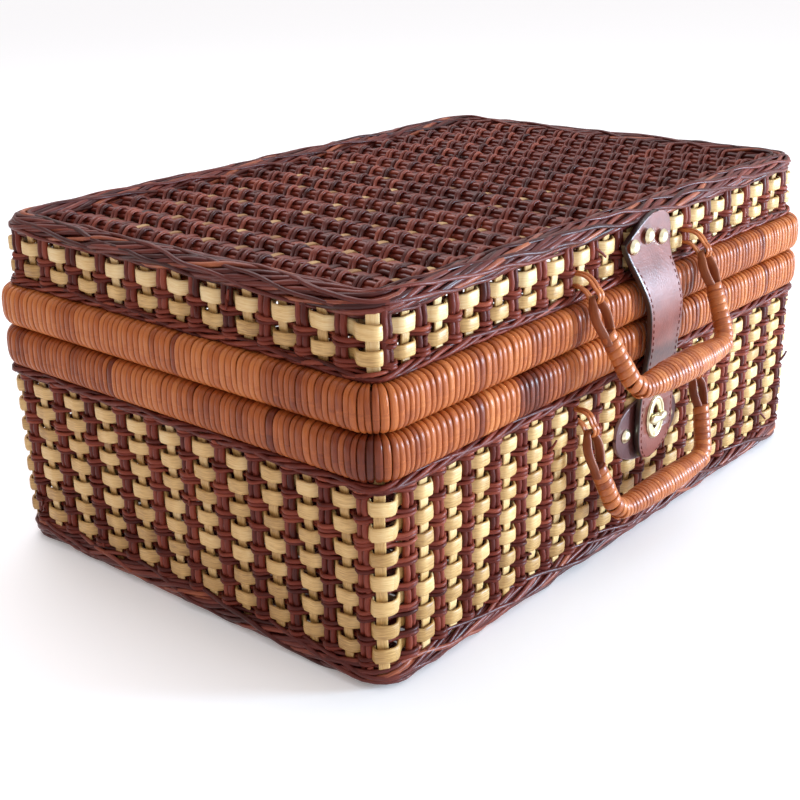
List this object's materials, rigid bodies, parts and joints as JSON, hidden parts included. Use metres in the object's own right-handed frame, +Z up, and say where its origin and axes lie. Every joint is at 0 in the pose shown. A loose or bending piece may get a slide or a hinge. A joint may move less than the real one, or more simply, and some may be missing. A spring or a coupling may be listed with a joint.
{
  "type": "wicker picnic case",
  "caption": "Rectangular woven wicker case with cane-wrapped rims, a hinged lid, two bail handles and a leather strap that closes over a turn-lock.",
  "frame": {"origin": "on the ground, below the middle of the rims' plan", "axes": "+X right along the front, +Y to the hinged back, +Z up; the front with the handles faces -Y"},
  "size_m": [0.46, 0.357, 0.2095],
  "materials": {
    "woven_wall": "woven dark reed and pale cane, satin",
    "dark_reed": "stained reed, satin",
    "bare_rattan": "bare rattan, matt",
    "tan_cane": "varnished cane, glossy",
    "leather": "polished leather",
    "brass": "polished brass"
  },
  "bodies": {
    "base": {"base_floor_panel": "dark_reed", "base_foot_border": "dark_reed", "base_handle_loop_left": "tan_cane", "base_handle_loop_right": "tan_cane", "base_rim_inner_hoop": "bare_rattan", "base_rim_outer_hoop": "bare_rattan", "base_rim_wrap": "tan_cane", "base_waling": "dark_reed", "base_wall_back": "woven_wall", "base_wall_front": "woven_wall", "base_wall_left": "woven_wall", "base_wall_right": "woven_wall", "clasp_patch": "leather", "clasp_patch_rivets": "brass", "hinge_leaves_lower": "brass", "hinge_pins": "brass", "hinge_rivets_lower": "brass", "turnlock_base": "brass"},
    "base_handle": {"base_handle_arm_wrap_left": "tan_cane", "base_handle_arm_wrap_right": "tan_cane", "base_handle_core": "bare_rattan", "base_handle_eye_left": "tan_cane", "base_handle_eye_right": "tan_cane", "base_handle_grip_wrap": "tan_cane"},
    "lid": {"hinge_leaves_upper": "brass", "hinge_rivets_upper": "brass", "lid_handle_loop_left": "tan_cane", "lid_handle_loop_right": "tan_cane", "lid_rim_inner_hoop": "bare_rattan", "lid_rim_outer_hoop": "bare_rattan", "lid_rim_wrap": "tan_cane", "lid_top_border": "dark_reed", "lid_top_panel": "dark_reed", "lid_waling": "dark_reed", "lid_wall_back": "woven_wall", "lid_wall_front": "woven_wall", "lid_wall_left": "woven_wall", "lid_wall_right": "woven_wall", "strap_rivets": "brass", "strap_tab": "leather"},
    "lid_handle": {"lid_handle_arm_wrap_left": "tan_cane", "lid_handle_arm_wrap_right": "tan_cane", "lid_handle_core": "bare_rattan", "lid_handle_eye_left": "tan_cane", "lid_handle_eye_right": "tan_cane", "lid_handle_grip_wrap": "tan_cane"},
    "strap": {"strap_eyelet_plate": "brass", "strap_tongue": "leather"},
    "turnlock": {"turnlock_toggle": "brass"}
  },
  "joints": [
    {"name": "lid_open", "type": "hinge", "parent": "base", "child": "lid", "pos_m": [0, 0.1605, 0.141], "axis": [-1, 0, 0], "range_deg": [0, 105]},
    {"name": "lid_handle_swing", "type": "hinge", "parent": "lid", "child": "lid_handle", "pos_m": [0.008, -0.16, 0.1725], "axis": [-1, 0, 0], "range_deg": [-13, 149]},
    {"name": "base_handle_swing", "type": "hinge", "parent": "base", "child": "base_handle", "pos_m": [0.008, -0.16, 0.093], "axis": [-1, 0, 0], "range_deg": [-14, 92]},
    {"name": "strap_lift", "type": "hinge", "parent": "lid", "child": "strap", "pos_m": [0.018, -0.1539, 0.184], "axis": [-1, 0, 0], "range_deg": [0, 105], "deforming": ["strap_tongue"]},
    {"name": "turnlock_turn", "type": "hinge", "parent": "base", "child": "turnlock", "pos_m": [0.0215, -0.16, 0.0775], "axis": [0, -1, 0], "range_deg": [0, 90]}
  ]
}
